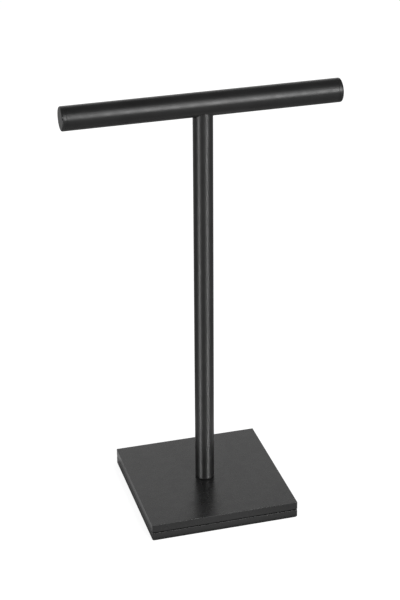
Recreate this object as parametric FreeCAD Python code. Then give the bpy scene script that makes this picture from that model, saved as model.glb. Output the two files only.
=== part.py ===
import FreeCAD, Part
import math
import os

from FreeCAD import Vector

# A freestanding towel stand: one round bar lies across the top of one round post, on a square base of
# two plates. The post's top is coped to a saddle for the bar. A tie rod, out of sight, runs from a
# threaded block in the bar down the post to a nut under the upper plate, and clamps all three together.
# Millimetres, +Z up, +X along the bar. The origin is the centre of the underside, on the floor.

# Overall
TOTAL_HEIGHT = 450.0            # floor to the top of the bar

# Bar, along X
BAR_LENGTH = 280.0              # over both end caps
BAR_DIAMETER = 24.0
BAR_WALL = 1.5
CAP_LENGTH = 4.5                # the part of an end cap that shows
CAP_RIM_CHAMFER = 1.2
CAP_SPIGOT_LENGTH = 8.0
SEAM_CHAMFER = 0.3              # on the tube's ends, so that a fine line shows where a cap meets them
BLOCK_LENGTH = 40.0             # threaded block inside the bar

# Post, along Z
POST_DIAMETER = 20.0
POST_WALL = 1.5
POST_FOOT_CHAMFER = 0.3
SADDLE_PLUG_LENGTH = 22.0       # below the lowest line of the saddle
FOOT_PLUG_LENGTH = 16.0         # inside the tube
REGISTER_DEPTH = 3.0            # how far the foot plug goes into the upper plate
GASKET_THICKNESS = 1.0          # the dark ring between post and base
GASKET_INSET = 0.5              # how far the ring stays back from the post's outside

# Locating pin, which stops the post from turning on the base
PIN_DIAMETER = 3.0
PIN_RADIUS_FROM_AXIS = 5.7
PIN_DEPTH_IN_PLATE = 2.4
PIN_DEPTH_IN_PLUG = 7.0

# Base, from the floor upwards
BASE_WIDTH = 156.0              # along the bar
BASE_DEPTH = 156.0              # across the bar
PAD_THICKNESS = 1.0
LOWER_PLATE_THICKNESS = 8.0
SPACER_THICKNESS = 1.0
UPPER_PLATE_THICKNESS = 8.5
PLATE_EDGE_CHAMFER = 0.8
PAD_INSET = 0.5
PAD_CORNER_RADIUS = 1.5
SPACER_INSET = 2.0
ACCESS_HOLE_DIAMETER = 26.0     # room for a socket on the tie rod's nut
WASHER_SEAT_DEPTH = 1.5         # in the upper plate's underside

# Tie rod and what clamps it
ROD_DIAMETER = 6.0
ROD_BLOCK_ENGAGEMENT = 14.0
ROD_NUT_PROTRUSION = 1.5
ROD_CHAMFER = 0.7
BLOCK_DRILL_ALLOWANCE = 2.0     # how much deeper the block's hole is than the rod goes
NUT_ACROSS_FLATS = 10.0
NUT_HEIGHT = 5.0
FLAT_WASHER_DIAMETER = 18.0
FLAT_WASHER_THICKNESS = 1.6
SPRING_WASHER_DIAMETER = 11.8
SPRING_WASHER_THICKNESS = 1.6
SPRING_WASHER_SLOT = 1.2
SPRING_WASHER_SLOT_TILT = 20.0  # degrees from upright

# Countersunk screws that hold the two plates together
SCREW_DIAMETER = 5.0
SCREW_LENGTH = 14.0
SCREW_HEAD_DIAMETER = 10.0
SCREW_SOCKET_ACROSS_FLATS = 3.0
SCREW_SOCKET_DEPTH = 2.0
SCREW_HEAD_SUNK = 0.2           # how far the head lies below the plate's face
SCREW_INSET = 20.0              # hole centre to plate edge
SCREW_DRILL_ALLOWANCE = 1.0
COUNTERSINK_HALF_ANGLE = 45.0

# Clearances, each on a radius
SADDLE_CLEARANCE = 0.05         # between the bar's underside and the cope
PRESS_CLEARANCE = 0.05          # plug or cap spigot in a tube
SLIDE_CLEARANCE = 0.1           # block in the bar, foot plug in the plate, pin in its holes
THREAD_CLEARANCE = 0.05         # threads are plain cylinders here
ROD_HOLE_CLEARANCE = 0.3
SCREW_HOLE_CLEARANCE = 0.3
WASHER_SEAT_CLEARANCE = 0.4

# Worked out from the sizes above
BAR_RADIUS = BAR_DIAMETER / 2
BAR_BORE_RADIUS = BAR_RADIUS - BAR_WALL
BAR_AXIS_Z = TOTAL_HEIGHT - BAR_RADIUS
TUBE_HALF_LENGTH = BAR_LENGTH / 2 - CAP_LENGTH
SADDLE_RADIUS = BAR_RADIUS + SADDLE_CLEARANCE
SADDLE_LOW_Z = BAR_AXIS_Z - SADDLE_RADIUS
POST_RADIUS = POST_DIAMETER / 2
POST_BORE_RADIUS = POST_RADIUS - POST_WALL
PLUG_RADIUS = POST_BORE_RADIUS - PRESS_CLEARANCE
BLOCK_RADIUS = BAR_BORE_RADIUS - SLIDE_CLEARANCE
REGISTER_RADIUS = PLUG_RADIUS + SLIDE_CLEARANCE
ROD_HOLE_RADIUS = ROD_DIAMETER / 2 + ROD_HOLE_CLEARANCE
ROD_TAPPED_RADIUS = ROD_DIAMETER / 2 + THREAD_CLEARANCE
PIN_HOLE_RADIUS = PIN_DIAMETER / 2 + SLIDE_CLEARANCE
PIN_CENTRE = Vector(0, PIN_RADIUS_FROM_AXIS, 0)

LOWER_PLATE_Z = PAD_THICKNESS
SPACER_Z = LOWER_PLATE_Z + LOWER_PLATE_THICKNESS
UPPER_PLATE_Z = SPACER_Z + SPACER_THICKNESS
BASE_TOP_Z = UPPER_PLATE_Z + UPPER_PLATE_THICKNESS
POST_FOOT_Z = BASE_TOP_Z + GASKET_THICKNESS
REGISTER_Z = BASE_TOP_Z - REGISTER_DEPTH

WASHER_SEAT_Z = UPPER_PLATE_Z + WASHER_SEAT_DEPTH
SPRING_WASHER_TOP_Z = WASHER_SEAT_Z - FLAT_WASHER_THICKNESS
NUT_TOP_Z = SPRING_WASHER_TOP_Z - SPRING_WASHER_THICKNESS
NUT_LOW_Z = NUT_TOP_Z - NUT_HEIGHT
ROD_LOW_Z = NUT_LOW_Z - ROD_NUT_PROTRUSION
BLOCK_LOW_Z = BAR_AXIS_Z - BLOCK_RADIUS
ROD_TOP_Z = BLOCK_LOW_Z + ROD_BLOCK_ENGAGEMENT

SCREW_HEAD_Z = LOWER_PLATE_Z + SCREW_HEAD_SUNK
SCREW_CENTRES = [
    Vector(side_x * (BASE_WIDTH / 2 - SCREW_INSET), side_y * (BASE_DEPTH / 2 - SCREW_INSET), 0)
    for side_x in (-1, 1)
    for side_y in (-1, 1)
]


def upright_cylinder(radius, low_z, high_z, centre=Vector(0, 0, 0)):
    """A cylinder along Z between two heights."""
    return Part.makeCylinder(radius, high_z - low_z, Vector(centre.x, centre.y, low_z))


def bar_cylinder(radius, half_length):
    """A cylinder on the bar's axis, centred on the post."""
    start = Vector(-half_length, 0, BAR_AXIS_Z)
    return Part.makeCylinder(radius, 2 * half_length, start, Vector(1, 0, 0))


def turned(points, axis_point, axis):
    """The solid that a closed half profile turns about an axis."""
    face = Part.Face(Part.makePolygon(points + points[:1]))
    return face.revolve(axis_point, axis, 360)


def turned_upright(profile, centre=Vector(0, 0, 0)):
    """The solid of revolution about Z whose half profile is a list of (radius, height)."""
    points = [Vector(centre.x + radius, centre.y, height) for radius, height in profile]
    return turned(points, centre, Vector(0, 0, 1))


def turned_along_bar(profile):
    """The solid of revolution about the bar's axis whose half profile is a list of (x, radius)."""
    points = [Vector(x, 0, BAR_AXIS_Z + radius) for x, radius in profile]
    return turned(points, Vector(0, 0, BAR_AXIS_Z), Vector(1, 0, 0))


def hexagon_prism(across_flats, low_z, high_z, centre=Vector(0, 0, 0)):
    """A six-sided prism along Z."""
    corner_radius = across_flats / 2 / math.cos(math.radians(30))
    corners = [
        Vector(
            centre.x + corner_radius * math.cos(math.radians(60 * side)),
            centre.y + corner_radius * math.sin(math.radians(60 * side)),
            low_z,
        )
        for side in range(6)
    ]
    face = Part.Face(Part.makePolygon(corners + corners[:1]))
    return face.extrude(Vector(0, 0, high_z - low_z))


def flat_sheet(width, depth, low_z, high_z):
    """A sharp-edged sheet centred on the post."""
    return Part.makeBox(width, depth, high_z - low_z, Vector(-width / 2, -depth / 2, low_z))


def upright_edges(solid):
    """The straight edges of a solid that run along Z."""
    return [
        edge for edge in solid.Edges
        if edge.BoundBox.XLength + edge.BoundBox.YLength < edge.BoundBox.ZLength
    ]


def saddle_cutter():
    """The space that the bar takes out of whatever it lies on."""
    return bar_cylinder(SADDLE_RADIUS, BAR_LENGTH / 2)


def bar_tube():
    """The bar's tube, its ends broken by a fine chamfer, with one hole below for the tie rod."""
    tube = bar_cylinder(BAR_RADIUS, TUBE_HALF_LENGTH)
    end_rims = [edge for edge in tube.Edges if edge.BoundBox.XLength < SEAM_CHAMFER]
    tube = tube.makeChamfer(SEAM_CHAMFER, end_rims)
    tube = tube.cut(bar_cylinder(BAR_BORE_RADIUS, TUBE_HALF_LENGTH))
    return tube.cut(upright_cylinder(ROD_HOLE_RADIUS, BAR_AXIS_Z - BAR_RADIUS, BAR_AXIS_Z))


def bar_end_cap():
    """The right end cap: a disc with its rim turned off, on a spigot that is glued into the tube."""
    spigot_radius = BAR_BORE_RADIUS - PRESS_CLEARANCE
    seam_x = TUBE_HALF_LENGTH
    spigot_end_x = seam_x - CAP_SPIGOT_LENGTH
    face_x = seam_x + CAP_LENGTH
    return turned_along_bar([
        (face_x, 0),
        (face_x, BAR_RADIUS - CAP_RIM_CHAMFER),
        (face_x - CAP_RIM_CHAMFER, BAR_RADIUS),
        (seam_x, BAR_RADIUS),
        (seam_x, spigot_radius),
        (spigot_end_x, spigot_radius),
        (spigot_end_x, 0),
    ])


def mirrored_left(solid):
    """The same piece at the other end of the bar."""
    return solid.mirror(Vector(0, 0, 0), Vector(1, 0, 0))


def bar_thread_block():
    """The solid block inside the bar, tapped from below for the tie rod."""
    block = bar_cylinder(BLOCK_RADIUS, BLOCK_LENGTH / 2)
    hole_top_z = ROD_TOP_Z + BLOCK_DRILL_ALLOWANCE
    return block.cut(upright_cylinder(ROD_TAPPED_RADIUS, BLOCK_LOW_Z, hole_top_z))


def post_tube():
    """The post's tube: square at the foot, coped at the top so that the bar beds into it."""
    tube = turned_upright([
        (POST_BORE_RADIUS, POST_FOOT_Z),
        (POST_RADIUS - POST_FOOT_CHAMFER, POST_FOOT_Z),
        (POST_RADIUS, POST_FOOT_Z + POST_FOOT_CHAMFER),
        (POST_RADIUS, BAR_AXIS_Z),
        (POST_BORE_RADIUS, BAR_AXIS_Z),
    ])
    return tube.cut(saddle_cutter())


def post_saddle_plug():
    """The plug in the post's top: coped with the tube, it bears the bar and centres the tie rod."""
    low_z = SADDLE_LOW_Z - SADDLE_PLUG_LENGTH
    plug = upright_cylinder(PLUG_RADIUS, low_z, BAR_AXIS_Z)
    plug = plug.cut(upright_cylinder(ROD_HOLE_RADIUS, low_z, BAR_AXIS_Z))
    return plug.cut(saddle_cutter())


def post_foot_plug():
    """The plug in the post's foot, which reaches down into the upper plate and centres the post there."""
    top_z = POST_FOOT_Z + FOOT_PLUG_LENGTH
    plug = upright_cylinder(PLUG_RADIUS, REGISTER_Z, top_z)
    plug = plug.cut(upright_cylinder(ROD_HOLE_RADIUS, REGISTER_Z, top_z))
    return plug.cut(upright_cylinder(PIN_HOLE_RADIUS, REGISTER_Z, REGISTER_Z + PIN_DEPTH_IN_PLUG, PIN_CENTRE))


def foot_gasket():
    """The thin ring under the post, a little smaller than the post, which leaves a shadow line."""
    ring = upright_cylinder(POST_RADIUS - GASKET_INSET, BASE_TOP_Z, POST_FOOT_Z)
    return ring.cut(upright_cylinder(REGISTER_RADIUS, BASE_TOP_Z, POST_FOOT_Z))


def locating_pin():
    """The dowel between the foot plug and the upper plate."""
    low_z = REGISTER_Z - PIN_DEPTH_IN_PLATE
    high_z = REGISTER_Z + PIN_DEPTH_IN_PLUG
    return upright_cylinder(PIN_DIAMETER / 2, low_z, high_z, PIN_CENTRE)


def tie_rod():
    """The rod, threaded all along, with chamfered ends."""
    radius = ROD_DIAMETER / 2
    return turned_upright([
        (0, ROD_LOW_Z),
        (radius - ROD_CHAMFER, ROD_LOW_Z),
        (radius, ROD_LOW_Z + ROD_CHAMFER),
        (radius, ROD_TOP_Z - ROD_CHAMFER),
        (radius - ROD_CHAMFER, ROD_TOP_Z),
        (0, ROD_TOP_Z),
    ])


def tie_rod_nut():
    """The hexagon nut, its corners turned off at the lower face."""
    flat_radius = NUT_ACROSS_FLATS / 2
    corner_radius = flat_radius / math.cos(math.radians(30))
    corner_drop = (corner_radius - flat_radius) * math.tan(math.radians(30))
    blank = turned_upright([
        (ROD_TAPPED_RADIUS, NUT_LOW_Z),
        (flat_radius, NUT_LOW_Z),
        (corner_radius, NUT_LOW_Z + corner_drop),
        (corner_radius, NUT_TOP_Z),
        (ROD_TAPPED_RADIUS, NUT_TOP_Z),
    ])
    return blank.common(hexagon_prism(NUT_ACROSS_FLATS, NUT_LOW_Z, NUT_TOP_Z))


def tie_rod_flat_washer():
    """The wide washer that lies in its seat under the upper plate."""
    washer = upright_cylinder(FLAT_WASHER_DIAMETER / 2, SPRING_WASHER_TOP_Z, WASHER_SEAT_Z)
    return washer.cut(upright_cylinder(ROD_HOLE_RADIUS, SPRING_WASHER_TOP_Z, WASHER_SEAT_Z))


def tie_rod_spring_washer():
    """The split washer, pressed flat, with its slanting slot."""
    radius = SPRING_WASHER_DIAMETER / 2
    ring = upright_cylinder(radius, NUT_TOP_Z, SPRING_WASHER_TOP_Z)
    ring = ring.cut(upright_cylinder(ROD_HOLE_RADIUS, NUT_TOP_Z, SPRING_WASHER_TOP_Z))
    reach = 2 * SPRING_WASHER_THICKNESS
    slot = Part.makeBox(
        radius, SPRING_WASHER_SLOT, 2 * reach, Vector(0, -SPRING_WASHER_SLOT / 2, -reach)
    )
    slot.rotate(Vector(0, 0, 0), Vector(1, 0, 0), SPRING_WASHER_SLOT_TILT)
    slot.translate(Vector(0, 0, (NUT_TOP_Z + SPRING_WASHER_TOP_Z) / 2))
    return ring.cut(slot)


def base_plate(low_z, high_z):
    """A square plate with every edge chamfered."""
    plate = flat_sheet(BASE_WIDTH, BASE_DEPTH, low_z, high_z)
    return plate.makeChamfer(PLATE_EDGE_CHAMFER, plate.Edges)


def upper_plate():
    """The upper plate: a register for the post, a seat for the washer, and tapped holes from below."""
    plate = base_plate(UPPER_PLATE_Z, BASE_TOP_Z)
    plate = plate.cut(upright_cylinder(REGISTER_RADIUS, REGISTER_Z, BASE_TOP_Z))
    plate = plate.cut(upright_cylinder(ROD_HOLE_RADIUS, UPPER_PLATE_Z, BASE_TOP_Z))
    seat_radius = FLAT_WASHER_DIAMETER / 2 + WASHER_SEAT_CLEARANCE
    plate = plate.cut(upright_cylinder(seat_radius, UPPER_PLATE_Z, WASHER_SEAT_Z))
    pin_low_z = REGISTER_Z - PIN_DEPTH_IN_PLATE
    plate = plate.cut(upright_cylinder(PIN_HOLE_RADIUS, pin_low_z, REGISTER_Z, PIN_CENTRE))
    tapped_radius = SCREW_DIAMETER / 2 + THREAD_CLEARANCE
    tapped_top_z = SCREW_HEAD_Z + SCREW_LENGTH + SCREW_DRILL_ALLOWANCE
    for centre in SCREW_CENTRES:
        plate = plate.cut(upright_cylinder(tapped_radius, UPPER_PLATE_Z, tapped_top_z, centre))
    return plate


def spacer_sheet():
    """The dark sheet between the plates, set back from their edges so that a groove runs round the base."""
    width = BASE_WIDTH - 2 * SPACER_INSET
    depth = BASE_DEPTH - 2 * SPACER_INSET
    sheet = flat_sheet(width, depth, SPACER_Z, UPPER_PLATE_Z)
    sheet = sheet.cut(upright_cylinder(ACCESS_HOLE_DIAMETER / 2, SPACER_Z, UPPER_PLATE_Z))
    hole_radius = SCREW_DIAMETER / 2 + SCREW_HOLE_CLEARANCE
    for centre in SCREW_CENTRES:
        sheet = sheet.cut(upright_cylinder(hole_radius, SPACER_Z, UPPER_PLATE_Z, centre))
    return sheet


def countersunk_hole(centre):
    """The cutter for one plate screw: a clearance hole that opens to a cone at the plate's underside."""
    hole_radius = SCREW_DIAMETER / 2 + SCREW_HOLE_CLEARANCE
    mouth_radius = SCREW_HEAD_DIAMETER / 2 + SCREW_HEAD_SUNK
    cone_height = (mouth_radius - hole_radius) / math.tan(math.radians(COUNTERSINK_HALF_ANGLE))
    return turned_upright([
        (0, LOWER_PLATE_Z),
        (mouth_radius, LOWER_PLATE_Z),
        (hole_radius, LOWER_PLATE_Z + cone_height),
        (hole_radius, SPACER_Z),
        (0, SPACER_Z),
    ], centre)


def lower_plate():
    """The lower plate, which weighs the stand down, with the hole that lets a socket reach the nut."""
    plate = base_plate(LOWER_PLATE_Z, SPACER_Z)
    plate = plate.cut(upright_cylinder(ACCESS_HOLE_DIAMETER / 2, LOWER_PLATE_Z, SPACER_Z))
    for centre in SCREW_CENTRES:
        plate = plate.cut(countersunk_hole(centre))
    return plate


def plate_screw(centre):
    """One countersunk screw with a hexagon socket, seated from below."""
    radius = SCREW_DIAMETER / 2
    head_radius = SCREW_HEAD_DIAMETER / 2
    neck_z = SCREW_HEAD_Z + (head_radius - radius) / math.tan(math.radians(COUNTERSINK_HALF_ANGLE))
    tip_z = SCREW_HEAD_Z + SCREW_LENGTH
    screw = turned_upright([
        (0, SCREW_HEAD_Z),
        (head_radius, SCREW_HEAD_Z),
        (radius, neck_z),
        (radius, tip_z),
        (0, tip_z),
    ], centre)
    socket_top_z = SCREW_HEAD_Z + SCREW_SOCKET_DEPTH
    return screw.cut(hexagon_prism(SCREW_SOCKET_ACROSS_FLATS, SCREW_HEAD_Z, socket_top_z, centre))


def plate_screws():
    """The four screws that hold the two plates together, as one group of separate solids."""
    return Part.makeCompound([plate_screw(centre) for centre in SCREW_CENTRES])


def non_slip_pad():
    """The thin pad stuck under the lower plate, set back from the edge and open round the nut."""
    pad = flat_sheet(BASE_WIDTH - 2 * PAD_INSET, BASE_DEPTH - 2 * PAD_INSET, 0, PAD_THICKNESS)
    pad = pad.makeFillet(PAD_CORNER_RADIUS, upright_edges(pad))
    return pad.cut(upright_cylinder(ACCESS_HOLE_DIAMETER / 2, 0, PAD_THICKNESS))


PIECES = {
    "bar_tube": bar_tube,
    "bar_end_cap_right": bar_end_cap,
    "bar_end_cap_left": lambda: mirrored_left(bar_end_cap()),
    "bar_thread_block": bar_thread_block,
    "post_tube": post_tube,
    "post_saddle_plug": post_saddle_plug,
    "post_foot_plug": post_foot_plug,
    "foot_gasket": foot_gasket,
    "locating_pin": locating_pin,
    "tie_rod": tie_rod,
    "tie_rod_nut": tie_rod_nut,
    "tie_rod_flat_washer": tie_rod_flat_washer,
    "tie_rod_spring_washer": tie_rod_spring_washer,
    "upper_plate": upper_plate,
    "spacer_sheet": spacer_sheet,
    "lower_plate": lower_plate,
    "plate_screws": plate_screws,
    "non_slip_pad": non_slip_pad,
}

os.makedirs("parts", exist_ok=True)
for name, build in PIECES.items():
    build().exportStep(f"parts/{name}.step")
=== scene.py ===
"""The freestanding towel stand, dressed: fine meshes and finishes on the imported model's own frame.

Lengths are metres and angles are degrees. +Z is up, +X runs along the bar, and the origin lies on the floor
under the middle of the post. The pieces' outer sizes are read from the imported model. What its boxes don't
tell, such as walls, holes, roundings and threads, has its size here.
"""

import logging
import math
from collections.abc import Callable, Mapping, Sequence
from dataclasses import dataclass
from enum import Enum

import bmesh
import bpy
from bmesh.types import BMEdge, BMesh, BMVert
from bpy.types import ID, Material, Node, NodeSocket, Object, World
from mathutils import Matrix, Vector


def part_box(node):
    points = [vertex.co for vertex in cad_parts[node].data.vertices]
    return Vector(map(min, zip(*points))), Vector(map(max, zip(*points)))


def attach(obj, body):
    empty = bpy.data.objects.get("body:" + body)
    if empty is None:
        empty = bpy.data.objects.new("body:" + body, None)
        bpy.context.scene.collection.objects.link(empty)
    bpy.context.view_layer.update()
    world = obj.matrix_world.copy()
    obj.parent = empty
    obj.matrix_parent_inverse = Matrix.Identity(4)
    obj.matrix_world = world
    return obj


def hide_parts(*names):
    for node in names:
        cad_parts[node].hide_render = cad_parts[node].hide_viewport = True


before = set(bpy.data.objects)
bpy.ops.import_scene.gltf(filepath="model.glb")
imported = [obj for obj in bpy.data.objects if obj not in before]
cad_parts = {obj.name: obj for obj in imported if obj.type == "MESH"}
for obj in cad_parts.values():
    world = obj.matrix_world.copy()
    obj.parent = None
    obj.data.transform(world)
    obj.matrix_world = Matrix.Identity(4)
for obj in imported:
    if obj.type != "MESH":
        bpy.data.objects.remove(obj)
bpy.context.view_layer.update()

MM = 0.001
ROUND_STEPS = 128         # facets round the tubes
SMALL_ROUND_STEPS = 64    # facets round holes and small turned pieces
MERGE_DISTANCE = 0.0005 * MM
THREAD_MERGE_DISTANCE = 0.01 * MM
SHARP_ANGLE = 32.0        # edges steeper than this stay crisp in the shading
HEX_HALF_ANGLE = math.radians(30)  # radians, from the middle of a hexagon's side to its corner
THREAD_DEPTH = 0.6134     # of a metric thread, in pitches
THREAD_FORM = ((0, 0.0), (0, 0.25), (1, 0.5625), (1, 0.6875), (0, 1.0))  # root 0 or crest 1, pitches up
NOISE_SPAN = (0.3, 0.7)   # where nearly all of the noise lies
THIN_STOP = 0.5           # where in its colours a coat is thin: it is thicker below, and rubbed above

Colour = tuple[float, float, float]
Span = tuple[float, float]
Inputs = Mapping[str | int, object]
EdgeTest = Callable[[BMEdge], bool]

log = logging.getLogger("towel_stand")


class Slot(Enum):
    """The material slots."""

    COATED_TUBE = "coated_tube"
    COATED_PLATE = "coated_plate"
    BLACK_RUBBER = "black_rubber"
    TURNED_STEEL = "turned_steel"
    ZINC_PLATED_STEEL = "zinc_plated_steel"


# ---- finishes


class NodeSheet:
    """A material's node tree, with short calls that add nodes and join them."""

    def __init__(self, name: str, owner: Material | World | None = None) -> None:
        """Starts an empty tree.

        Args:
            name: The name of a new material.
            owner: What the tree belongs to, where that is no new material.
        """
        self.material = owner or bpy.data.materials.new(name)
        self.material.use_nodes = True
        self.tree = self.material.node_tree
        self.tree.nodes.clear()
        self.point: NodeSocket = self.add("ShaderNodeTexCoord").outputs["Object"]

    def add(self, kind: str, inputs: Inputs | None = None, **settings: object) -> Node:
        """Adds one node.

        Args:
            kind: The node's type.
            inputs: What each input gets: an output of another node, or a plain value.
            settings: The node's own properties.

        Returns:
            The new node.
        """
        node = self.tree.nodes.new(kind)
        for name, value in settings.items():
            setattr(node, name, value)
        for name, value in (inputs or {}).items():
            if isinstance(value, NodeSocket):
                self.tree.links.new(value, node.inputs[name])
            else:
                node.inputs[name].default_value = value
        return node

    def math(self, operation: str, *terms: object) -> NodeSocket:
        """Joins two or three outputs or numbers by a Math node's operation."""
        return self.add("ShaderNodeMath", dict(enumerate(terms)), operation=operation).outputs[0]

    def choose(self, share: NodeSocket, off: object, on: object) -> NodeSocket:
        """Goes from one number, at a share of 0, to another, at 1."""
        return self.add("ShaderNodeMix", {"Factor": share, 2: off, 3: on}, data_type="FLOAT").outputs[0]

    def noise(self, size: float, detail: float = 2.0, stretch: Sequence[float] = (1, 1, 1)) -> NodeSocket:
        """Adds soft noise fixed to the piece.

        Args:
            size: The usual distance between two of its clouds.
            detail: How many finer layers it has.
            stretch: By how much the pattern is drawn together along each axis.

        Returns:
            The noise's output, nearly all of it within NOISE_SPAN.
        """
        spot = self.add("ShaderNodeMapping", {"Vector": self.point, "Scale": tuple(stretch)})
        inputs = {"Vector": spot.outputs[0], "Scale": 1 / size, "Detail": detail}
        return self.add("ShaderNodeTexNoise", inputs).outputs[0]

    def spread(self, value: NodeSocket, source: Sequence[float], target: Sequence[float]) -> NodeSocket:
        """Maps one range of a number softly onto another, and holds it there."""
        inputs = dict(enumerate((value, *source, *target)))
        return self.add("ShaderNodeMapRange", inputs, interpolation_type="SMOOTHSTEP").outputs[0]

    def tones(self, factor: NodeSocket, *stops: tuple[float, Sequence[float]]) -> NodeSocket:
        """Turns a number into a colour.

        Args:
            factor: The number.
            stops: The colour at each of a few places from 0 to 1.

        Returns:
            The colour's output.
        """
        ramp = self.add("ShaderNodeValToRGB", {0: factor})
        elements = ramp.color_ramp.elements
        while len(elements) < len(stops):
            elements.new(1.0)
        for element, (place, colour) in zip(elements, stops):
            element.position = place
            element.color = (*colour, 1.0)
        return ramp.outputs[0]

    def relief(self, height: NodeSocket, depth: float, below: NodeSocket | None = None) -> NodeSocket:
        """Adds fine relief.

        Args:
            height: The relief's form, 0 to 1.
            depth: How far it stands out at 1.
            below: A coarser relief that it lies on.

        Returns:
            The output for a shader's normal.
        """
        inputs: dict[str | int, object] = {"Height": height, "Distance": depth, "Strength": 1.0}
        if below is not None:
            inputs["Normal"] = below
        return self.add("ShaderNodeBump", inputs).outputs[0]

    def rays(self) -> tuple[NodeSocket, NodeSocket]:
        """Tells the rays of the eye, also through clear things, and those of reflections: 1 where they are."""
        path = self.add("ShaderNodeLightPath").outputs
        return self.math("MAXIMUM", path["Is Camera Ray"], path["Is Transmission Ray"]), path["Is Glossy Ray"]

    def end(self, shader: Node) -> Material:
        """Ends the tree in a shader, and gives its material."""
        self.add("ShaderNodeOutputMaterial", {"Surface": shader.outputs[0]})
        return self.material

    def surface(self, inputs: Inputs) -> Material:
        """Ends the tree in one principled shader with these inputs, and gives its material."""
        return self.end(self.add("ShaderNodeBsdfPrincipled", inputs))


def grey(level: float) -> Colour:
    """A neutral colour."""
    return (level, level, level)


@dataclass(frozen=True)
class Finish:
    """What every finish of the stand has.

    Args:
        name: The material's name.
        dark: Its darker colour.
        light: Its lighter colour.
        change: Where in the clouds' noise the one goes over into the other.
        cloud: The size of those clouds.
        roughness: The lowest and highest roughness.
        grain: The size of its finest pattern.
        grain_depth: How far that pattern stands out.
    """

    name: str
    dark: Colour
    light: Colour
    change: Span
    cloud: float
    roughness: Span
    grain: float
    grain_depth: float


@dataclass(frozen=True)
class PowderCoat(Finish):
    """Satin black powder coat, lighter where it is thin, with a fine grain and a trace of orange peel.

    Args:
        rubbed: The colour where it is rubbed most.
        grain_share: How much the grain shows in the colour, beside the clouds.
        peel: The size of the orange peel.
        peel_depth: How far the orange peel stands out.
        smudge: The size of the patches of gloss and of rubbing.
        rubbed_box: Half sizes and centre height of plates whose edges are a little rubbed.
        rub_width: How far the rubbing reaches from an edge.
        rub_patches: The part of the noise over which the rubbing grows, and the shares that it grows between.
        ior: Its index of refraction.
    """

    dark: Colour = grey(0.0120)
    light: Colour = grey(0.0170)
    change: Span = (0.45, 0.85)
    cloud: float = 28 * MM
    roughness: Span = (0.33, 0.39)
    grain: float = 0.45 * MM
    grain_depth: float = 0.006 * MM
    rubbed: Colour = grey(0.0340)
    grain_share: float = 0.35
    peel: float = 2.4 * MM
    peel_depth: float = 0.0025 * MM
    smudge: float = 9 * MM
    rubbed_box: tuple[float, float, float, float] | None = None
    rub_width: float = 0.9 * MM
    rub_patches: tuple[Span, Span] = ((0.35, 0.65), (0.2, 1.0))
    ior: float = 1.5

    def material(self) -> Material:
        """Builds the node tree.

        Returns:
            The material.
        """
        sheet = NodeSheet(self.name)
        fleck = sheet.noise(self.grain, detail=1.0)
        mixed = sheet.math("MULTIPLY_ADD", fleck, self.grain_share, sheet.noise(self.cloud, detail=3.0))
        shade = sheet.math("ADD", sheet.spread(mixed, self.change, (0.0, THIN_STOP)), self.rub(sheet))
        stops = ((0.0, self.dark), (THIN_STOP, self.light), (1.0, self.rubbed))
        peel = sheet.relief(sheet.noise(self.peel, detail=0.0), self.peel_depth)
        return sheet.surface({
            "Base Color": sheet.tones(shade, *stops),
            "Roughness": sheet.spread(sheet.noise(self.smudge), NOISE_SPAN, self.roughness),
            "Normal": sheet.relief(fleck, self.grain_depth, peel),
            "IOR": self.ior,
        })

    def rub(self, sheet: NodeSheet) -> object:
        """Works out how far the coat is rubbed.

        Args:
            sheet: The node tree that is being built.

        Returns:
            A number or an output, from 0 to what THIN_STOP leaves.
        """
        if self.rubbed_box is None:
            return 0.0
        *half_sizes, centre_z = self.rubbed_box
        split = sheet.add("ShaderNodeSeparateXYZ", {0: sheet.point})
        gaps = [
            sheet.math("SUBTRACT", half_size, sheet.math("ABSOLUTE", sheet.math("SUBTRACT", place, centre)))
            for half_size, place, centre in zip(half_sizes, split.outputs, (0.0, 0.0, centre_z))
        ]
        nearer = sheet.math("MINIMUM", gaps[0], gaps[1])
        farther = sheet.math("MAXIMUM", gaps[0], gaps[1])
        edge_gap = sheet.math("MAXIMUM", nearer, sheet.math("MINIMUM", farther, gaps[2]))
        band = sheet.spread(edge_gap, (0.0, self.rub_width), (1 - THIN_STOP, 0.0))
        return sheet.math("MULTIPLY", band, sheet.spread(sheet.noise(self.smudge), *self.rub_patches))


@dataclass(frozen=True)
class Rubber(Finish):
    """Dull black rubber with a stippled skin, lighter and rougher where dust lies on it."""

    name: str = "black_rubber"
    dark: Colour = grey(0.010)
    light: Colour = grey(0.022)
    change: Span = (0.4, 0.75)
    cloud: float = 14 * MM
    roughness: Span = (0.62, 0.85)
    grain: float = 0.55 * MM
    grain_depth: float = 0.05 * MM

    def material(self) -> Material:
        """Builds the node tree.

        Returns:
            The material.
        """
        sheet = NodeSheet(self.name)
        cells = sheet.add("ShaderNodeTexVoronoi", {"Vector": sheet.point, "Scale": 1 / self.grain})
        dust = sheet.spread(sheet.noise(self.cloud, detail=4.0), self.change, (0.0, 1.0))
        return sheet.surface({
            "Base Color": sheet.tones(dust, (0.0, self.dark), (1.0, self.light)),
            "Roughness": sheet.spread(dust, (0.0, 1.0), self.roughness),
            "Normal": sheet.relief(cells.outputs[0], self.grain_depth),
        })


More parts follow.
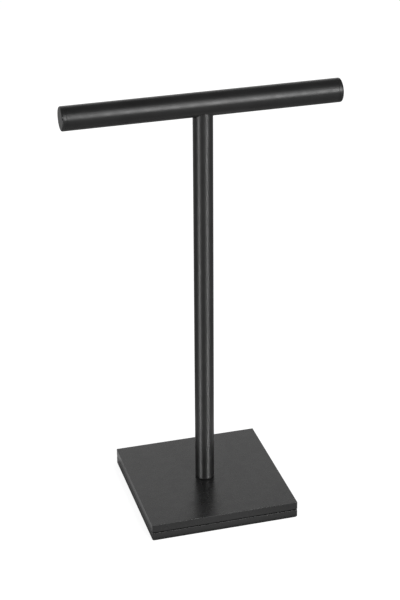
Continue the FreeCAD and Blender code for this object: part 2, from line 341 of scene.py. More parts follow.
@dataclass(frozen=True)
class TurnedSteel(Finish):
    """Bare steel straight from the lathe, with fine tool marks, and darker under a thin film of oil."""

    name: str = "turned_steel"
    dark: Colour = (0.34, 0.33, 0.31)
    light: Colour = (0.52, 0.51, 0.49)
    change: Span = (0.35, 0.65)
    cloud: float = 7 * MM
    roughness: Span = (0.24, 0.42)
    grain: float = 0.18 * MM
    grain_depth: float = 0.004 * MM

    def material(self) -> Material:
        """Builds the node tree.

        Returns:
            The material.
        """
        sheet = NodeSheet(self.name)
        film = sheet.noise(self.cloud, detail=4.0)
        marks = sheet.noise(self.grain, detail=0.0, stretch=(0.1, 0.1, 1.0))
        return sheet.surface({
            "Base Color": sheet.tones(film, *zip(self.change, (self.dark, self.light))),
            "Roughness": sheet.spread(film, self.change, self.roughness),
            "Normal": sheet.relief(marks, self.grain_depth),
            "Metallic": 1.0,
        })


@dataclass(frozen=True)
class ZincPlate(Finish):
    """Bright zinc plating: bluish, with faint yellow clouds and a fine crystalline grain."""

    name: str = "zinc_plated_steel"
    dark: Colour = (0.50, 0.53, 0.57)
    light: Colour = (0.60, 0.58, 0.50)
    change: Span = (0.35, 0.7)
    cloud: float = 4 * MM
    roughness: Span = (0.26, 0.46)
    grain: float = 0.4 * MM
    grain_depth: float = 0.006 * MM

    def material(self) -> Material:
        """Builds the node tree.

        Returns:
            The material.
        """
        sheet = NodeSheet(self.name)
        cloud = sheet.noise(self.cloud, detail=3.0)
        grain = sheet.noise(self.grain, detail=2.0)
        return sheet.surface({
            "Base Color": sheet.tones(cloud, *zip(self.change, (self.dark, self.light))),
            "Roughness": sheet.spread(grain, NOISE_SPAN, self.roughness),
            "Normal": sheet.relief(grain, self.grain_depth),
            "Metallic": 1.0,
        })


@dataclass(frozen=True)
class PaleFloor:
    """The matte floor: white to the eye bar the stand's soft shadow, clear from below, and with a painted glow
    in reflections.

    Args:
        name: The material's name.
        colour: What the lamps light.
        lift: What is added for the eye.
        painted_glow_near: A painted glow that reflections show close to the stand.
        painted_glow_fade: The distances from the post between which it fades out.
        painted_glow_behind: A painted glow that reflections show well behind the stand.
        behind_reach: The distances behind the post between which it fades in.
        base_half: Half the width of the stand's base.
        painted_contact_shade_reach: How far from the base painted_glow_near fades in, beside it and in front of
            it, as painted contact shade.
        mottle: The size of its faint clouds.
        mottle_share: The darker clouds' colour, as a share of the other.
    """

    name: str = "pale_floor"
    colour: float = 0.36
    lift: float = 0.87
    painted_glow_near: float = 0.6
    painted_glow_fade: Span = (60 * MM, 230 * MM)
    painted_glow_behind: float = 0.18
    behind_reach: Span = (200 * MM, 900 * MM)
    base_half: float = 78 * MM
    painted_contact_shade_reach: Span = (13 * MM, 8 * MM)
    mottle: float = 400 * MM
    mottle_share: float = 0.98

    def material(self) -> Material:
        """Builds the node tree.

        Returns:
            The material.
        """
        sheet = NodeSheet(self.name)
        eye, reflection = sheet.rays()
        direct = sheet.math("MULTIPLY", eye, self.lift)
        away = sheet.add("ShaderNodeVectorMath", {0: sheet.point}, operation="LENGTH").outputs["Value"]
        # painted glow round the post, seen only in reflections
        near = sheet.spread(away, self.painted_glow_fade, (self.painted_glow_near, 0.0))
        split = sheet.add("ShaderNodeSeparateXYZ", {0: sheet.point}).outputs
        # painted contact shade: the reflected glow fades out next to the base's sides and front
        beside, before = (
            sheet.spread(sheet.math("ABSOLUTE", place), (self.base_half, self.base_half + reach), (0.0, 1.0))
            for place, reach in zip(split, self.painted_contact_shade_reach)
        )
        outside_painted_shade = sheet.math("MAXIMUM", beside, before)
        # painted glow behind the stand, seen only in reflections
        behind = sheet.spread(split[1], self.behind_reach, (0.0, self.painted_glow_behind))
        painted_reflected_glow = sheet.math("MULTIPLY_ADD", near, outside_painted_shade, behind)
        mirrored = sheet.math("MULTIPLY", reflection, painted_reflected_glow)
        stops = zip(NOISE_SPAN, (grey(self.colour), grey(self.mottle_share * self.colour)))
        tone = sheet.tones(sheet.noise(self.mottle), *stops)
        matte = sheet.add("ShaderNodeBsdfDiffuse", {"Color": tone})
        glow = sheet.add("ShaderNodeEmission", {"Strength": sheet.math("MAXIMUM", direct, mirrored)})
        both = sheet.add("ShaderNodeAddShader", {0: matte.outputs[0], 1: glow.outputs[0]})
        under = sheet.add("ShaderNodeNewGeometry").outputs["Backfacing"]
        clear = sheet.add("ShaderNodeBsdfTransparent")
        return sheet.end(sheet.add("ShaderNodeMixShader", {0: under, 1: both.outputs[0], 2: clear.outputs[0]}))


# ---- meshes


def tidied(bm: BMesh) -> BMesh:
    """Merges doubled points and turns every face outwards.

    Args:
        bm: The solid.

    Returns:
        The same solid.
    """
    bmesh.ops.remove_doubles(bm, verts=bm.verts, dist=MERGE_DISTANCE)
    bmesh.ops.recalc_face_normals(bm, faces=bm.faces)
    return bm


def spun(outline: Sequence[Span], steps: int, ring: bool = False, rise: float = 0.0) -> BMesh:
    """Spins an outline once about the Z axis.

    Args:
        outline: Points as (radius, height).
        steps: How many facets one turn has.
        ring: Whether the outline closes on itself.
        rise: How far each facet climbs, on a thread.

    Returns:
        The surface, with its points still doubled.
    """
    bm = bmesh.new()
    points = [bm.verts.new((radius, 0.0, height)) for radius, height in outline]
    pairs = list(zip(points, points[1:]))
    if ring:
        pairs.append((points[-1], points[0]))
    lines = [bm.edges.new(pair) for pair in pairs]
    bmesh.ops.spin(
        bm, geom=points + lines, cent=(0, 0, 0), axis=(0, 0, 1), dvec=(0, 0, rise), angle=math.tau, steps=steps,
        use_merge=not rise, use_normal_flip=False, use_duplicate=False,
    )
    return bm


def turned(profile: Sequence[Span], steps: int = ROUND_STEPS) -> BMesh:
    """Turns a solid from points as (radius, height), of which the first and the last lie on the Z axis."""
    return tidied(spun(profile, steps))


def pipe(outer: float, inner: float, low: float, high: float) -> BMesh:
    """Turns a tube, a ring or a washer from its radii and the heights of its ends."""
    return tidied(spun([(outer, low), (outer, high), (inner, high), (inner, low)], ROUND_STEPS, ring=True))


def hexagon(across_flats: float, low_z: float, high_z: float) -> BMesh:
    """Turns a six-sided prism, with two of its corners on the X axis, from its width and its ends' heights."""
    corner = across_flats / 2 / math.cos(HEX_HALF_ANGLE)
    return turned([(0, low_z), (corner, low_z), (corner, high_z), (0, high_z)], steps=6)


def beyond(radius: float) -> EdgeTest:
    """A test that picks the edges further than a radius from the Z axis."""
    return lambda edge: edge.verts[0].co.xy.length > radius


def rounded(bm: BMesh, radius: float, chosen: EdgeTest | None = None, segments: int = 4) -> BMesh:
    """Rounds the crisp edges.

    Args:
        bm: The solid.
        radius: How far the rounding reaches from the edge.
        chosen: A test that picks some of them.
        segments: How many facets the rounding has.

    Returns:
        The same solid.
    """
    crisp = [
        edge for edge in bm.edges
        if len(edge.link_faces) == 2 and edge.calc_face_angle() > math.radians(SHARP_ANGLE)
        and (chosen is None or chosen(edge))
    ]
    bmesh.ops.bevel(
        bm, geom=crisp, offset=radius, offset_type="OFFSET", segments=segments, profile=0.5, affect="EDGES",
        clamp_overlap=True, material=-1,
    )
    return bm


def placed(name: str, data: BMesh | ID) -> Object:
    """Puts something in the scene.

    Args:
        name: Its name.
        data: A solid, which is freed, or the data of a lamp or a camera.

    Returns:
        The new object.
    """
    if isinstance(data, BMesh):
        mesh = bpy.data.meshes.new(name)
        data.to_mesh(mesh)
        data.free()
        data = mesh
    thing = bpy.data.objects.new(name, data)
    bpy.context.collection.objects.link(thing)
    return thing


def combined(first: BMesh, second: BMesh, operation: str) -> BMesh:
    """Cuts or joins one solid with another, and frees both.

    Args:
        first: The solid that is cut or added to.
        second: The other solid.
        operation: DIFFERENCE, INTERSECT or UNION.

    Returns:
        The new solid.
    """
    parts = [placed("cutting", bm) for bm in (first, second)]
    cut = parts[0].modifiers.new("cut", "BOOLEAN")
    cut.operation, cut.solver, cut.object = operation, "EXACT", parts[1]
    result = bmesh.new()
    result.from_object(parts[0], bpy.context.evaluated_depsgraph_get())
    for part in parts:
        mesh = part.data
        bpy.data.objects.remove(part)
        bpy.data.meshes.remove(mesh)
    return tidied(result)


@dataclass(frozen=True)
class Hole:
    """A round hole along Z.

    Args:
        radius: The hole's radius.
        low_z: Its lower end.
        high_z: Its upper end.
        at: Where its centre lies.
        mouth_radius: Where it is countersunk from below, the radius of its mouth.
        mouth_z: The height of that mouth.
    """

    radius: float
    low_z: float
    high_z: float
    at: Span = (0.0, 0.0)
    mouth_radius: float = 0.0
    mouth_z: float = 0.0

    def cut(self, bm: BMesh) -> BMesh:
        """Cuts the hole.

        Args:
            bm: The solid that it goes into. It is freed.

        Returns:
            The new solid.
        """
        profile = [(self.radius, self.low_z)]
        if self.mouth_radius:
            mouth, neck_z = self.mouth_radius, self.mouth_z + self.mouth_radius - self.radius
            profile = [(mouth, self.low_z), (mouth, self.mouth_z), (self.radius, neck_z)]
        profile += [(self.radius, self.high_z), (0, self.high_z)]
        drill = turned([(0, self.low_z), *profile], steps=SMALL_ROUND_STEPS)
        bmesh.ops.translate(drill, verts=drill.verts, vec=(*self.at, 0.0))
        return combined(bm, drill, "DIFFERENCE")


@dataclass(frozen=True)
class Thread:
    """A metric screw thread about the Z axis.

    Args:
        radius: The radius over its crests.
        pitch: Its rise in one turn.
        steps: How many facets one turn has.
    """

    radius: float
    pitch: float
    steps: int = 12

    def rod(self, low_z: float, high_z: float, chamfer: float = 0.0, play: float = 0.0) -> BMesh:
        """Builds a rod with this thread from end to end.

        Args:
            low_z: The rod's lower end.
            high_z: Its upper end.
            chamfer: How far its ends are turned down.
            play: By how much it is thicker than the thread, to cut a nut with.

        Returns:
            The closed solid. Threads of one pitch fit in each other, wherever they begin.
        """
        crest = self.radius + play
        root = crest - THREAD_DEPTH * self.pitch
        spare = 2  # turns past each end, which are cut off
        start = (math.floor(low_z / self.pitch) - spare) * self.pitch
        turns = math.ceil((high_z - start) / self.pitch) + spare
        outline = [((root, crest)[top], start + along * self.pitch) for top, along in THREAD_FORM]
        bm = spun(outline, self.steps, rise=self.pitch / self.steps)
        made = 1
        while made < turns:
            copied = bmesh.ops.duplicate(bm, geom=[*bm.verts, *bm.edges, *bm.faces])["geom"]
            verts = [item for item in copied if isinstance(item, BMVert)]
            bmesh.ops.translate(bm, verts=verts, vec=(0, 0, made * self.pitch))
            made *= 2
        bmesh.ops.remove_doubles(bm, verts=bm.verts, dist=THREAD_MERGE_DISTANCE)
        for end_z, outwards in ((low_z, -1), (high_z, 1)):
            geometry = [*bm.verts, *bm.edges, *bm.faces]
            cut = bmesh.ops.bisect_plane(
                bm, geom=geometry, plane_co=(0, 0, end_z), plane_no=(0, 0, outwards), clear_outer=True,
            )
            rim = [item for item in cut["geom_cut"] if isinstance(item, BMEdge)]
            bmesh.ops.contextual_create(bm, geom=rim)
        for vert in bm.verts:
            widest = crest - chamfer + min(vert.co.z - low_z, high_z - vert.co.z)
            if vert.co.xy.length > widest:
                vert.co.xy *= widest / vert.co.xy.length
        return tidied(bm)


def finished(bm: BMesh, name: str, finish: Material, slot: Slot, nodes: Sequence[str]) -> Object:
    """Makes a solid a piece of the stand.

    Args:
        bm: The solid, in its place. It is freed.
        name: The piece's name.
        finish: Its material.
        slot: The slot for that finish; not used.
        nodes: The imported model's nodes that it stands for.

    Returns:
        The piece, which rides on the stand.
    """
    piece = placed(name, bm)
    piece.data.materials.append(finish)
    piece.data.shade_smooth()
    piece.data.set_sharp_from_angle(angle=math.radians(SHARP_ANGLE))
    piece.modifiers.new("even_shading", "WEIGHTED_NORMAL").keep_sharp = True
    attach(piece, "root")
    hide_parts(*nodes)
    return piece


def dressed(node: str, finish: Material) -> Object:
    """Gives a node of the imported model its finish.

    Args:
        node: The node's name.
        finish: The material.

    Returns:
        The node's object.
    """
    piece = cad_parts[node]
    piece.data.materials.clear()
    piece.data.materials.append(finish)
    return piece


# ---- sub-assemblies


@dataclass(frozen=True)
class Bar:
    """The cross bar: a tube with a glued cap in each end.

    Args:
        axis_z: The height of the bar's axis.
        radius: The bar's outer radius.
        seam_x: Where the tube ends and the caps begin to show.
        face_x: Where the caps end.
        spigot_x: How near the middle the caps' spigots reach.
        wall: The tube's wall.
        rod_hole: The radius of the hole below for the tie rod.
        spigot_play: The gap between a spigot and the tube.
        rim_round: The rounding of the bar's ends.
        seam_round: The rounding on both sides of a seam.
    """

    axis_z: float
    radius: float
    seam_x: float
    face_x: float
    spigot_x: float
    wall: float = 1.5 * MM
    rod_hole: float = 3.3 * MM
    spigot_play: float = 0.05 * MM
    rim_round: float = 1.5 * MM
    seam_round: float = 0.3 * MM

    @classmethod
    def from_frame(cls) -> "Bar":
        """Reads the bar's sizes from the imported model.

        Returns:
            The bar.
        """
        low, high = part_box("bar_tube")
        cap_low, cap_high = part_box("bar_end_cap_right")
        return cls(
            axis_z=(low.z + high.z) / 2, radius=(high.z - low.z) / 2, seam_x=high.x, face_x=cap_high.x,
            spigot_x=cap_low.x,
        )

    def lay(self, bm: BMesh) -> None:
        """Turns an upright solid so that it lies along the bar, its +Z end towards +X."""
        place = Matrix.Translation((0, 0, self.axis_z)) @ Matrix.Rotation(math.radians(90), 4, "Y")
        bmesh.ops.transform(bm, matrix=place, verts=bm.verts)

    def tube(self) -> BMesh:
        """Makes the tube, with fine roundings at its ends and the tie rod's hole.

        Returns:
            The solid.
        """
        bore = self.radius - self.wall
        bm = pipe(self.radius, bore, -self.seam_x, self.seam_x)
        rounded(bm, self.seam_round, beyond(bore + self.wall / 2), segments=2)
        self.lay(bm)
        return Hole(self.rod_hole, self.axis_z - 2 * self.radius, self.axis_z).cut(bm)

    def cap(self, side: int) -> BMesh:
        """Makes one end cap.

        Args:
            side: 1 for the right end and -1 for the left.

        Returns:
            The solid.
        """
        spigot = self.radius - self.wall - self.spigot_play
        bm = turned([
            (0, self.spigot_x), (spigot, self.spigot_x), (spigot, self.seam_x), (self.radius, self.seam_x),
            (self.radius, self.face_x), (0, self.face_x),
        ])
        middle = (self.seam_x + self.face_x) / 2
        rounded(bm, self.rim_round, lambda edge: edge.verts[0].co.z > middle, segments=6)
        rounded(bm, self.seam_round, beyond(self.radius - self.wall / 2), segments=2)
        self.lay(bm)
        if side < 0:
            bmesh.ops.scale(bm, vec=(-1, 1, 1), verts=bm.verts)
            bmesh.ops.recalc_face_normals(bm, faces=bm.faces)
        return bm

    def build(self, coat: Material) -> list[Object]:
        """Builds the bar's visible pieces.

        Args:
            coat: Their finish.

        Returns:
            The tube, the right cap and the left cap.
        """
        made = (
            ("coated_bar_tube", "bar_tube", self.tube()),
            ("coated_end_cap_right", "bar_end_cap_right", self.cap(1)),
            ("coated_end_cap_left", "bar_end_cap_left", self.cap(-1)),
        )
        return [finished(bm, name, coat, Slot.COATED_TUBE, [node]) for name, node, bm in made]


@dataclass(frozen=True)
class Post:
    """The post: a tube coped to the bar at its top, on a thin dark ring. The ring is set back under the tube,
    and its black adds painted shade to the real shade at the foot.

    Args:
        radius: The post's outer radius.
        foot_z: The height of the tube's foot.
        ring_z: The height of the ring's underside.
        ring_radius: The ring's outer radius.
        bar: The bar that lies on the post.
        wall: The tube's wall.
        saddle_play: The gap between the coped top and the bar.
        ring_bore: The ring's inner radius.
        edge_round: The rounding of the outer edges.
    """

    radius: float
    foot_z: float
    ring_z: float
    ring_radius: float
    bar: Bar
    wall: float = 1.5 * MM
    saddle_play: float = 0.05 * MM
    ring_bore: float = 8.55 * MM
    edge_round: float = 0.25 * MM

    @classmethod
    def from_frame(cls, bar: Bar) -> "Post":
        """Reads the post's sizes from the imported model.

        Args:
            bar: The bar that lies on the post.

        Returns:
            The post.
        """
        low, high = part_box("post_tube")
        ring_low, ring_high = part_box("foot_gasket")
        return cls(
            radius=(high.x - low.x) / 2, foot_z=low.z, ring_z=ring_low.z,
            ring_radius=(ring_high.x - ring_low.x) / 2, bar=bar,
        )

    def tube(self) -> BMesh:
        """Makes the tube and copes its top to the bar.

        Returns:
            The solid.
        """
        bore, top = self.radius - self.wall, self.bar.axis_z
        bm = pipe(self.radius, bore, self.foot_z, top)
        saddle = self.bar.radius + self.saddle_play
        for vert in bm.verts:
            if vert.co.z > (self.foot_z + top) / 2:
                vert.co.z = top - math.sqrt(saddle ** 2 - vert.co.y ** 2)
        return rounded(bm, self.edge_round, beyond(bore + self.wall / 2), segments=3)

    def ring(self) -> BMesh:
        """Makes the dark ring under the post, whose black adds painted shade at the foot."""
        bm = pipe(self.ring_radius, self.ring_bore, self.ring_z, self.foot_z)
        return rounded(bm, self.edge_round, beyond((self.ring_radius + self.ring_bore) / 2), segments=3)

    def build(self, coat: Material, rubber: Material) -> list[Object]:
        """Builds the post's visible pieces.

        Args:
            coat: The tube's finish.
            rubber: The ring's finish.

        Returns:
            The tube and the ring.
        """
        return [
            finished(self.tube(), "coated_post_tube", coat, Slot.COATED_TUBE, ["post_tube"]),
            # the ring's black adds painted shade at the post's foot
            finished(self.ring(), "rubber_foot_ring", rubber, Slot.BLACK_RUBBER, ["foot_gasket"]),
        ]


@dataclass(frozen=True)
class Plate:
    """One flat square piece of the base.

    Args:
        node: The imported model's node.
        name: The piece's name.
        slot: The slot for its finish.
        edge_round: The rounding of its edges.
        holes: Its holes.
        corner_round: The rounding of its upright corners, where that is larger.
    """

    node: str
    name: str
    slot: Slot
    edge_round: float
    holes: Sequence[Hole]
    corner_round: float = 0.0

    def build(self, finish: Material) -> Object:
        """Builds the plate with its roundings and its holes.

        Args:
            finish: Its finish.

        Returns:
            The piece.
        """
        low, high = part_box(self.node)
        place = Matrix.Translation((low + high) / 2) @ Matrix.Diagonal((*(high - low), 1.0))
        bm = bmesh.new()
        bmesh.ops.create_cube(bm, size=1.0, matrix=place)
        if self.corner_round:
            rounded(bm, self.corner_round, lambda edge: edge.verts[0].co.xy == edge.verts[1].co.xy, segments=8)
        rounded(bm, self.edge_round)
        for hole in self.holes:
            bm = hole.cut(bm)
        return finished(bm, self.name, finish, self.slot, [self.node])


@dataclass(frozen=True)
class Base:
    """The weighted base: two plates with a dark sheet between them, on a rubber pad. The sheet is set back, and
    its black adds painted shade to the groove's real shade.

    Args:
        pad_z: The height of the pad's top.
        lower_z: The height of the lower plate's top.
        spacer_z: The height of the spacer sheet's top.
        top_z: The height of the base's top.
        screw_at: How far the plate screws lie from the middle, along X and Y.
        screw_head: The radius of their heads.
        plate_round: The rounding of the plates' edges.
        sheet_round: The rounding of the sheet's and the pad's edges.
        pad_corner: The rounding of the pad's corners.
        access_radius: The hole below through which a spanner reaches the nut.
        screw_hole: The radius of the holes that the screws pass through.
        screw_mouth: The radius of those holes' countersunk mouths.
        tapped_hole: The radius of the tapped holes in the upper plate.
        tapped_depth: How deep they are.
        register_radius: The round recess for the post's plug.
        register_depth: How deep it is.
        pin: The radius of the hole for the locating pin, its depth, and its distance from the middle.
        rod_hole: The radius of the hole for the tie rod.
        seat_radius: The round recess below for the washer.
        seat_depth: How deep it is.
        overrun: How far a drill runs past a face.
    """

    pad_z: float
    lower_z: float
    spacer_z: float
    top_z: float
    screw_at: float
    screw_head: float = 5.0 * MM
    plate_round: float = 0.35 * MM
    sheet_round: float = 0.2 * MM
    pad_corner: float = 1.5 * MM
    access_radius: float = 13.0 * MM
    screw_hole: float = 2.8 * MM
    screw_mouth: float = 5.2 * MM
    tapped_hole: float = 2.55 * MM
    tapped_depth: float = 6.2 * MM
    register_radius: float = 8.55 * MM
    register_depth: float = 3.0 * MM
    pin: tuple[float, float, float] = (1.6 * MM, 2.4 * MM, 5.7 * MM)
    rod_hole: float = 3.3 * MM
    seat_radius: float = 9.4 * MM
    seat_depth: float = 1.5 * MM
    overrun: float = 1.0 * MM

    @classmethod
    def from_frame(cls) -> "Base":
        """Reads the base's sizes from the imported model.

        Returns:
            The base.
        """
        nodes = ("non_slip_pad", "lower_plate", "spacer_sheet", "upper_plate")
        pad, lower, spacer, top = (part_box(node)[1].z for node in nodes)
        screws_low, screws_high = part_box("plate_screws")
        screw_at = (screws_high.x - screws_low.x) / 2 - cls.screw_head
        return cls(pad_z=pad, lower_z=lower, spacer_z=spacer, top_z=top, screw_at=screw_at)

    def screw_centres(self) -> list[Span]:
        """Where the four plate screws stand."""
        return [(x * self.screw_at, y * self.screw_at) for x in (-1, 1) for y in (-1, 1)]

    def upper_holes(self) -> list[Hole]:
        """Lists the upper plate's holes: the seats of post and washer, and what passes through.

        Returns:
            The holes.
        """
        under, register_z = self.spacer_z - self.overrun, self.top_z - self.register_depth
        tapped_z = self.spacer_z + self.tapped_depth
        pin_radius, pin_depth, pin_at = self.pin
        return [
            Hole(self.register_radius, register_z, self.top_z + self.overrun),
            Hole(self.rod_hole, under, self.top_z),
            Hole(self.seat_radius, under, self.spacer_z + self.seat_depth),
            Hole(pin_radius, register_z - pin_depth, self.top_z, (0.0, pin_at)),
            *(Hole(self.tapped_hole, under, tapped_z, at) for at in self.screw_centres()),
        ]

    def through_holes(self, low_z: float, high_z: float, mouth: float = 0.0) -> list[Hole]:
        """Lists the screws' holes through a piece between two heights, with their mouths' radius, if any."""
        low, high = low_z - self.overrun, high_z + self.overrun
        return [Hole(self.screw_hole, low, high, at, mouth, low_z) for at in self.screw_centres()]

    def build(self, coat: Material, rubber: Material) -> list[Object]:
        """Builds the base's visible pieces.

        Args:
            coat: The plates' finish.
            rubber: The pad's and the sheet's finish.

        Returns:
            The pieces, from the top down.
        """
        access = Hole(self.access_radius, -self.overrun, self.spacer_z + self.overrun)
        spacer = self.through_holes(self.lower_z, self.spacer_z)
        lower = self.through_holes(self.pad_z, self.lower_z, self.screw_mouth)
        coated, black = Slot.COATED_PLATE, Slot.BLACK_RUBBER
        plates = [
            Plate("upper_plate", "coated_upper_plate", coated, self.plate_round, self.upper_holes()),
            # the set-back sheet's black adds painted shade to the real shade in the groove
            Plate("spacer_sheet", "rubber_spacer_sheet", black, self.sheet_round, [access, *spacer]),
            Plate("lower_plate", "coated_lower_plate", coated, self.plate_round, [access, *lower]),
            Plate("non_slip_pad", "rubber_non_slip_pad", black, self.sheet_round, [access], self.pad_corner),
        ]
        return [plate.build(coat if plate.slot is coated else rubber) for plate in plates]


@dataclass(frozen=True)
class Clamp:
    """The tie rod with its nut and washers, the plate screws, and the turned pieces.

    Args:
        base: The base that they clamp.
        rod_thread: The tie rod's thread.
        rod_chamfer: How far the rod's ends are turned down.
        nut_flats: The nut's size across its flats.
        nut_play: The gap between the nut's thread and the rod's.
        washer_bore: The flat washer's inner radius.
        washer_round: The rounding of its edges.
        screw_thread: The plate screws' thread.
        screw_sunk: How far inside their heads it begins.
        screw_tip: How far the screws' tips are turned down.
        socket_flats: The size of the sockets in their heads.
        socket_depth: How deep those are.
        turned_nodes: The turned pieces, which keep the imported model's shapes.
    """

    base: Base
    rod_thread: Thread = Thread(3.0 * MM, 1.0 * MM)
    rod_chamfer: float = 0.7 * MM
    nut_flats: float = 10.0 * MM
    nut_play: float = 0.05 * MM
    washer_bore: float = 3.3 * MM
    washer_round: float = 0.2 * MM
    screw_thread: Thread = Thread(2.5 * MM, 0.8 * MM)
    screw_sunk: float = 1.0 * MM
    screw_tip: float = 0.6 * MM
    socket_flats: float = 3.0 * MM
    socket_depth: float = 2.0 * MM
    turned_nodes: Sequence[str] = ("bar_thread_block", "post_saddle_plug", "post_foot_plug", "locating_pin")

    def rod(self) -> BMesh:
        """Makes the rod, threaded all along."""
        low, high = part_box("tie_rod")
        return self.rod_thread.rod(low.z, high.z, self.rod_chamfer)

    def nut(self) -> BMesh:
        """Makes the nut: its corners are turned off on both sides, and its thread fits the rod's.

        Returns:
            The solid.
        """
        low, high = (corner.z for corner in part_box("tie_rod_nut"))
        flat = self.nut_flats / 2
        corner = flat / math.cos(HEX_HALF_ANGLE)
        drop = (corner - flat) * math.tan(HEX_HALF_ANGLE)
        dome = turned([
            (0, low), (flat, low), (corner, low + drop), (corner, high - drop), (flat, high), (0, high),
        ])
        bm = combined(hexagon(self.nut_flats, low, high), dome, "INTERSECT")
        pitch = self.rod_thread.pitch
        cutter = self.rod_thread.rod(low - pitch, high + pitch, play=self.nut_play)
        return combined(bm, cutter, "DIFFERENCE")

    def washer(self) -> BMesh:
        """Makes the flat washer, its edges softened as a punched washer's are."""
        low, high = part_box("tie_rod_flat_washer")
        return rounded(pipe((high.x - low.x) / 2, self.washer_bore, low.z, high.z), self.washer_round)

    def screws(self) -> BMesh:
        """Makes the four countersunk screws, with their threads and their hexagon sockets.

        Returns:
            The four solids in one.
        """
        low, high = (corner.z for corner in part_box("plate_screws"))
        head, root = self.base.screw_head, self.screw_thread.radius - self.screw_thread.pitch / 2
        bm = turned([(0, low), (head, low), (root, low + head - root), (0, low + head - root)])
        bm = combined(bm, self.screw_thread.rod(low + self.screw_sunk, high, self.screw_tip), "UNION")
        socket = hexagon(self.socket_flats, low - self.socket_depth, low + self.socket_depth)
        bm = combined(bm, socket, "DIFFERENCE")
        mesh = bpy.data.meshes.new("one_screw")
        bm.to_mesh(mesh)
        bm.clear()
        for at in self.base.screw_centres():
            before = len(bm.verts)
            bm.from_mesh(mesh)
            bm.verts.ensure_lookup_table()
            bmesh.ops.translate(bm, verts=bm.verts[before:], vec=(*at, 0.0))
        bpy.data.meshes.remove(mesh)
        return bm

    def build(self, steel: Material, zinc: Material) -> list[Object]:
        """Builds the fasteners and dresses the turned pieces.

        Args:
            steel: The turned pieces' finish.
            zinc: The fasteners' finish.

        Returns:
            The pieces.
        """
        made = (
            ("zinc_tie_rod", "tie_rod", self.rod()),
            ("zinc_rod_nut", "tie_rod_nut", self.nut()),
            ("zinc_flat_washer", "tie_rod_flat_washer", self.washer()),
            ("zinc_plate_screws", "plate_screws", self.screws()),
        )
        pieces = [finished(bm, name, zinc, Slot.ZINC_PLATED_STEEL, [node]) for name, node, bm in made]
        pieces.append(dressed("tie_rod_spring_washer", zinc))
        return pieces + [dressed(node, steel) for node in self.turned_nodes]


# ---- studio


def direction(azimuth: float, elevation: float) -> Vector:
    """The way to a viewer or lamp: azimuth 0 is in front, at -Y, and positive towards +X."""
    a, e = math.radians(azimuth), math.radians(elevation)
    return Vector((math.sin(a) * math.cos(e), -math.cos(a) * math.cos(e), math.sin(e)))


@dataclass(frozen=True)
class Softbox:
    """A rectangular lamp that faces the stand.

    Args:
        name: The lamp's name.
        azimuth: Where it stands, as in direction().
        centre_z: The height of its centre.
        height: Its height.
        irradiance: The light that it sends onto the stand; pi would make a white surface white.
        distance: How far it stands from the post.
        width: Its width.
        aim_z: The height on the post that it is turned towards.
        only_on: The pieces that mirror it, where it is flagged off from the rest.
    """

    name: str
    azimuth: float
    centre_z: float
    height: float
    irradiance: float
    distance: float = 1.7
    width: float = 0.6
    aim_z: float = 0.4
    only_on: Sequence[str] = ()

    def build(self) -> None:
        """Sets up the lamp."""
        place = direction(self.azimuth, 0.0) * self.distance + Vector((0, 0, self.centre_z))
        line = place - Vector((0, 0, self.aim_z))
        lamp = bpy.data.lights.new(self.name, "AREA")
        lamp.shape = "RECTANGLE"
        lamp.size = self.width
        lamp.size_y = self.height
        lamp.energy = self.irradiance * math.pi * line.length_squared
        stand = placed(self.name, lamp)
        if self.only_on:
            lit = bpy.data.collections.new(self.name)
            for name in self.only_on:
                lit.objects.link(bpy.data.objects[name])
            stand.light_linking.receiver_collection = lit
            stand.light_linking.blocker_collection = lit
            lamp.cycles.use_multiple_importance_sampling = False
            stand.visible_diffuse = False
        stand.location = place
        stand.rotation_euler = line.to_track_quat("Z", "Y").to_euler()
        stand.visible_camera = False


@dataclass(frozen=True)
class Camera:
    """The camera, at the angle from which the stand was photographed.

    Args:
        azimuth: Where it stands, as in direction().
        elevation: How far above the horizon it stands.
        roll: By how much it is turned about its own line of sight.
        distance: From the camera to the plane through the point that it looks at.
        aim: What lies in the middle of its picture: how far to the right of the post, and how high.
        sensor: The sensor's longer side in millimetres.
        focal: The focal length in millimetres.
        clip: The nearest and the farthest that it sees.
    """

    azimuth: float = -15.72
    elevation: float = 26.676
    roll: float = -0.372
    distance: float = 1769.755 * MM
    aim: Span = (-3.853 * MM, 227.412 * MM)
    sensor: float = 36.0
    focal: float = 104.67864
    clip: Span = (0.01, 100.0)

    def build(self) -> None:
        """Sets up the camera and makes it the scene's own."""
        back = direction(self.azimuth, self.elevation)
        across = direction(self.azimuth + 90, 0.0)
        above = back.cross(across)
        roll = math.radians(self.roll)
        right = across * math.cos(roll) + above * math.sin(roll)
        up = above * math.cos(roll) - across * math.sin(roll)
        place = right * self.aim[0] + Vector((0, 0, self.aim[1])) + back * self.distance
        lens = bpy.data.cameras.new("photo_camera")
        lens.sensor_width = self.sensor
        lens.lens = self.focal
        lens.clip_start, lens.clip_end = self.clip
        camera = placed("photo_camera", lens)
        camera.matrix_world = Matrix.Translation(place) @ Matrix((right, up, back)).transposed().to_4x4()
        bpy.context.scene.camera = camera


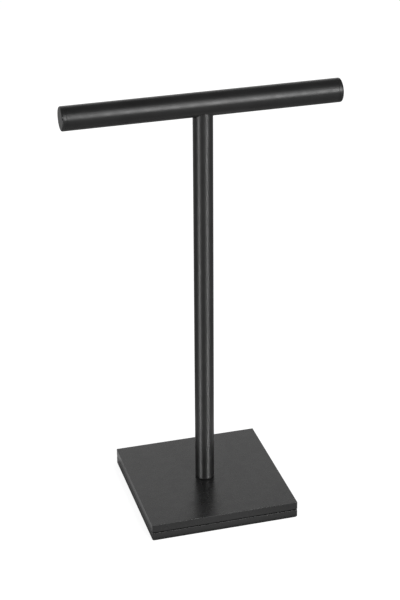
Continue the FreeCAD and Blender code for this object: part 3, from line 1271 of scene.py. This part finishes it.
@dataclass(frozen=True)
class Studio:
    """The pale floor, the white surroundings, the lamps and the camera.

    Args:
        floor_half: Half the floor's width.
        opening_half: Half the width of its opening under the pad, which lets the underside be lit and seen.
        fill: The strength of the even light from all round.
        backdrop: The strength that reflections show behind the stand and at its sides.
        room: The strength that they show in front of it and above it.
        behind: Where the backdrop fades in, as the Y part of a direction.
        below: Where it fades out upwards, as the Z part of a direction.
        softboxes: The lamps.
    """

    floor_half: float = 8.0
    opening_half: float = 76.8 * MM
    fill: float = 0.36
    backdrop: float = 0.36
    room: float = 0.10
    behind: Span = (-0.8, -0.2)
    below: Span = (0.45, 0.90)
    softboxes: Sequence[Softbox] = (
        Softbox(
            "left_strip", azimuth=-64.0, centre_z=0.1, height=1.8, irradiance=2.44, distance=1.2, width=0.35,
            aim_z=0.25, only_on=("coated_post_tube", "coated_end_cap_left"),
        ),
        Softbox(
            "right_strip", azimuth=30.0, centre_z=0.1, height=1.8, irradiance=2.58, distance=1.2, width=0.45,
            aim_z=0.25, only_on=("coated_post_tube",),
        ),
        Softbox("front_key", azimuth=17.0, centre_z=0.99, height=0.75, irradiance=1.6),
        Softbox("high_key", azimuth=17.0, centre_z=1.85, height=0.7, irradiance=0.35),
        Softbox(
            "back_board", azimuth=182.0, centre_z=0.65, height=1.1, irradiance=0.62, distance=1.4, width=1.9,
            aim_z=0.2,
        ),
    )

    def floor(self) -> None:
        """Lays the floor, with its opening."""
        bm = bmesh.new()
        bmesh.ops.create_grid(bm, x_segments=1, y_segments=1, size=self.floor_half)
        opening = list(bm.faces)
        margin = self.floor_half - self.opening_half
        bmesh.ops.inset_region(bm, faces=opening, thickness=margin, use_boundary=True, use_even_offset=True)
        bmesh.ops.delete(bm, geom=opening, context="FACES")
        floor = placed("floor", bm)
        floor.data.materials.append(PaleFloor().material())

    def surroundings(self) -> None:
        """Makes the surroundings: white to the eye, an even fill, and a backdrop in reflections."""
        world = bpy.data.worlds.new("studio")
        bpy.context.scene.world = world
        sheet = NodeSheet("studio", world)
        way = sheet.add("ShaderNodeSeparateXYZ", {0: sheet.point}).outputs
        behind = sheet.spread(way[1], self.behind, (0.0, 1.0))
        low = sheet.spread(way[2], self.below, (1.0, 0.0))
        backdrop = sheet.math("MULTIPLY", sheet.math("MULTIPLY", behind, low), self.backdrop - self.room)
        mirrored = sheet.math("ADD", backdrop, self.room)
        eye, reflection = sheet.rays()
        seen = sheet.choose(eye, sheet.choose(reflection, self.fill, mirrored), 1.0)
        white = (*grey(1.0), 1.0)
        glow = sheet.add("ShaderNodeBackground", {"Color": white, "Strength": seen})
        sheet.add("ShaderNodeOutputWorld", {"Surface": glow.outputs[0]})

    def build(self) -> None:
        """Sets up the studio."""
        self.floor()
        self.surroundings()
        for softbox in self.softboxes:
            softbox.build()
        Camera().build()
        bpy.context.scene.view_settings.view_transform = "Standard"


def write_sizes() -> None:
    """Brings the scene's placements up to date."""
    bpy.context.view_layer.update()


def main() -> None:
    """Builds the stand piece by piece, and then the studio round it."""
    logging.basicConfig(level=logging.INFO, format="%(name)s: %(message)s")
    tube_coat = PowderCoat("coated_tube").material()
    _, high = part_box("upper_plate")
    low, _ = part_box("lower_plate")
    middle_z = (high.z + low.z) / 2
    rubbed = (high.x, high.y, high.z - middle_z, middle_z)
    plate_coat = PowderCoat("coated_plate", roughness=(0.25, 0.30), rubbed_box=rubbed).material()
    rubber = Rubber().material()
    steel = TurnedSteel().material()
    zinc = ZincPlate().material()
    bar = Bar.from_frame()
    pieces = bar.build(tube_coat)
    pieces += Post.from_frame(bar).build(tube_coat, rubber)
    base = Base.from_frame()
    pieces += base.build(plate_coat, rubber)
    pieces += Clamp(base).build(steel, zinc)
    for piece in pieces:
        log.info("%s: %d faces", piece.name, len(piece.data.polygons))
    Studio().build()
    write_sizes()


if __name__ == "__main__":
    main()
